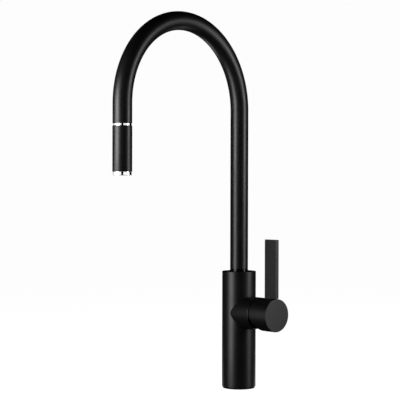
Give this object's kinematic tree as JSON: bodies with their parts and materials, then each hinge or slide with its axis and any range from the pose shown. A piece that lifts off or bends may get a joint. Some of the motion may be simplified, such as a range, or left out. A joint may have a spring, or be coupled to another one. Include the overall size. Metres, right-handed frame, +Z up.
{
  "type": "kitchen faucet",
  "caption": "Tall single-lever kitchen faucet: round upright body, swivelling gooseneck spout with a pull-down spray head, side lever with a flat upright blade.",
  "frame": {"origin": "on the axis of the upright body, in the plane of the deck that the base seal sits on", "axes": "+Z up along the body and riser; -Y straight ahead over the bowl; +X along the side lever's axis, away from the body"},
  "size_m": [0.1078, 0.2836, 0.6057],
  "materials": {
    "black_coat": "satin matte black powder coat",
    "chrome": "polished chrome plate",
    "brass": "machined brass",
    "steel": "plain stainless steel",
    "rubber": "moulded rubber",
    "grey_plastic": "moulded dark grey plastic",
    "white_plastic": "moulded natural acetal",
    "ceramic": "lapped alumina ceramic",
    "hose": "black nylon braid over hose"
  },
  "bodies": {
    "base": {"mixer_body": "black_coat", "base_seal": "rubber", "base_insert": "brass", "mounting_shank": "brass", "deck_washer": "rubber", "clamp_plate": "steel", "mounting_nut": "brass", "valve_block": "brass", "hot_inlet": "brass", "cold_inlet": "brass", "mixed_outlet": "brass", "cartridge_gasket": "rubber", "fixed_disc": "ceramic", "cartridge_body": "grey_plastic", "cartridge_nut": "brass", "bonnet_ring": "black_coat", "swivel_housing": "brass", "stop_pin": "steel", "upper_bush": "white_plastic", "lower_bush": "white_plastic"},
    "turret": {"turret": "grey_plastic", "tilt_pin": "steel"},
    "lever": {"stem": "brass", "lever_hub": "black_coat", "lever_cap": "black_coat", "lever_blade": "black_coat", "blade_screw": "steel", "grub_screw": "steel"},
    "disc": {"moving_disc": "ceramic", "disc_carrier": "grey_plastic"},
    "spout": {"spout_spigot": "brass", "retaining_clip": "steel", "friction_ring": "rubber", "foot_ring": "black_coat", "spout_tube": "black_coat", "riser_hose": "hose", "dock_insert": "grey_plastic", "dock_magnet": "steel", "hose_guide": "white_plastic"},
    "hose_end": {"pull_hose": "hose", "hose_nut": "brass"},
    "spray_head": {"dock_collar": "chrome", "strike_ring": "steel", "head_shell": "black_coat", "collar_gasket": "rubber", "spray_core": "grey_plastic", "check_valve": "white_plastic", "nozzle_seal": "rubber", "nozzle_ring": "chrome", "flow_straightener": "white_plastic", "nozzle_plate": "grey_plastic"}
  },
  "joints": [
    {"name": "spout_swivel", "type": "hinge", "parent": "base", "child": "spout", "pos_m": [0, 0, 0.1732], "axis": [0, 0, 1], "range_deg": [-76.27, 63.73]},
    {"name": "lever_heat", "type": "hinge", "parent": "base", "child": "turret", "pos_m": [0.04, 0, 0.1126], "axis": [1, 0, 0], "range_deg": [-45, 45]},
    {"name": "lever_flow", "type": "hinge", "parent": "turret", "child": "lever", "pos_m": [0.04, 0, 0.1126], "axis": [0, 1, 0], "range_deg": [0, 20]},
    {"name": "disc_slide", "type": "slide", "parent": "turret", "child": "disc", "axis": [0, 0, 1], "range_m": [0, 0.0058]},
    {"name": "head_pull", "type": "slide", "parent": "spout", "child": "hose_end", "axis": [0, 0, -1], "range_m": [0, 0.3], "deforming": ["pull_hose"]},
    {"name": "head_spin", "type": "hinge", "parent": "hose_end", "child": "spray_head", "pos_m": [0.02662, -0.24234, 0.375], "axis": [0, 0, 1], "continuous": true}
  ],
  "couplings": [
    {"joint": "disc_slide", "follows": "lever_flow", "m_per_rad": 0.0161}
  ]
}
